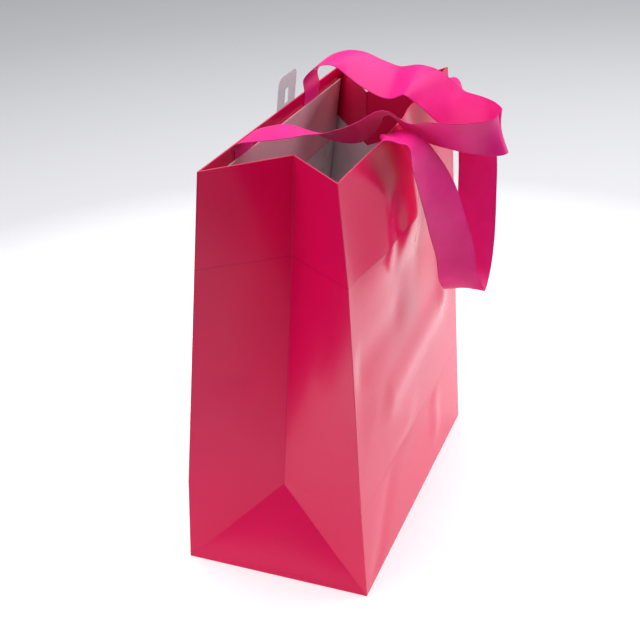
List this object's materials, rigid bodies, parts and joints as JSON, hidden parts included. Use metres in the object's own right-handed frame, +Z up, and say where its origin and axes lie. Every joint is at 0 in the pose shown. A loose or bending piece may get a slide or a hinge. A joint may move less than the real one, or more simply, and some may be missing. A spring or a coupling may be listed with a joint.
{
  "type": "gift bag",
  "caption": "Folded paper gift bag with drawn-in gussets, ribbon loop handles, card-stiffened rim, loose base board and a clear hang tab.",
  "frame": {"origin": "middle of the base, on the surface that the bag stands on", "axes": "+X along the bag's width, to the right as seen from the front; -Y out of the front panel, where both handles hang; +Z up"},
  "size_m": [0.23, 0.1857, 0.3101],
  "materials": {
    "coated_paper": "smooth semi-gloss laminated pink outside, uncoated pale mauve inside",
    "tinted_card": "uncoated mauve-grey card",
    "grey_board": "uncoated grey board",
    "satin_ribbon": "satin weave with fine woven edges",
    "clear_film": "clear, slightly grey film"
  },
  "bodies": {
    "bag": {"front_panel": "coated_paper", "back_panel": "coated_paper", "left_gusset_front": "coated_paper", "left_gusset_back": "coated_paper", "right_gusset_front": "coated_paper", "right_gusset_back": "coated_paper", "left_foot": "coated_paper", "right_foot": "coated_paper", "front_hem": "coated_paper", "back_hem": "coated_paper", "left_front_hem": "coated_paper", "left_back_hem": "coated_paper", "right_front_hem": "coated_paper", "right_back_hem": "coated_paper", "front_bottom_flap": "coated_paper", "back_bottom_flap": "coated_paper", "left_bottom_flap": "coated_paper", "right_bottom_flap": "coated_paper", "side_seam_flap": "coated_paper", "front_rim_card": "tinted_card", "back_rim_card": "tinted_card", "front_ribbon_left_tail": "satin_ribbon", "front_ribbon_right_tail": "satin_ribbon", "back_ribbon_left_tail": "satin_ribbon", "back_ribbon_right_tail": "satin_ribbon", "hang_tab_foot": "clear_film", "hang_tab": "clear_film"},
    "back_ribbon": {"back_handle": "satin_ribbon"},
    "front_ribbon": {"front_handle": "satin_ribbon"},
    "loose_base_board": {"base_board": "grey_board"}
  },
  "joints": [
    {"name": "back_handle_lift", "type": "hinge", "parent": "bag", "child": "back_ribbon", "pos_m": [0, 0.02915, 0.2884], "axis": [-1, 0, 0], "range_deg": [0, 85]},
    {"name": "front_handle_lift", "type": "hinge", "parent": "bag", "child": "front_ribbon", "pos_m": [0, -0.05215, 0.29035], "axis": [-1, 0, 0], "range_deg": [0, 135]},
    {"name": "base_board_lift", "type": "slide", "parent": "bag", "child": "loose_base_board", "axis": [0, 0, 1], "range_m": [0, 0.007]}
  ],
  "couplings": [
    {"joint": "front_handle_lift", "follows": "back_handle_lift", "ratio": 1.588}
  ]
}
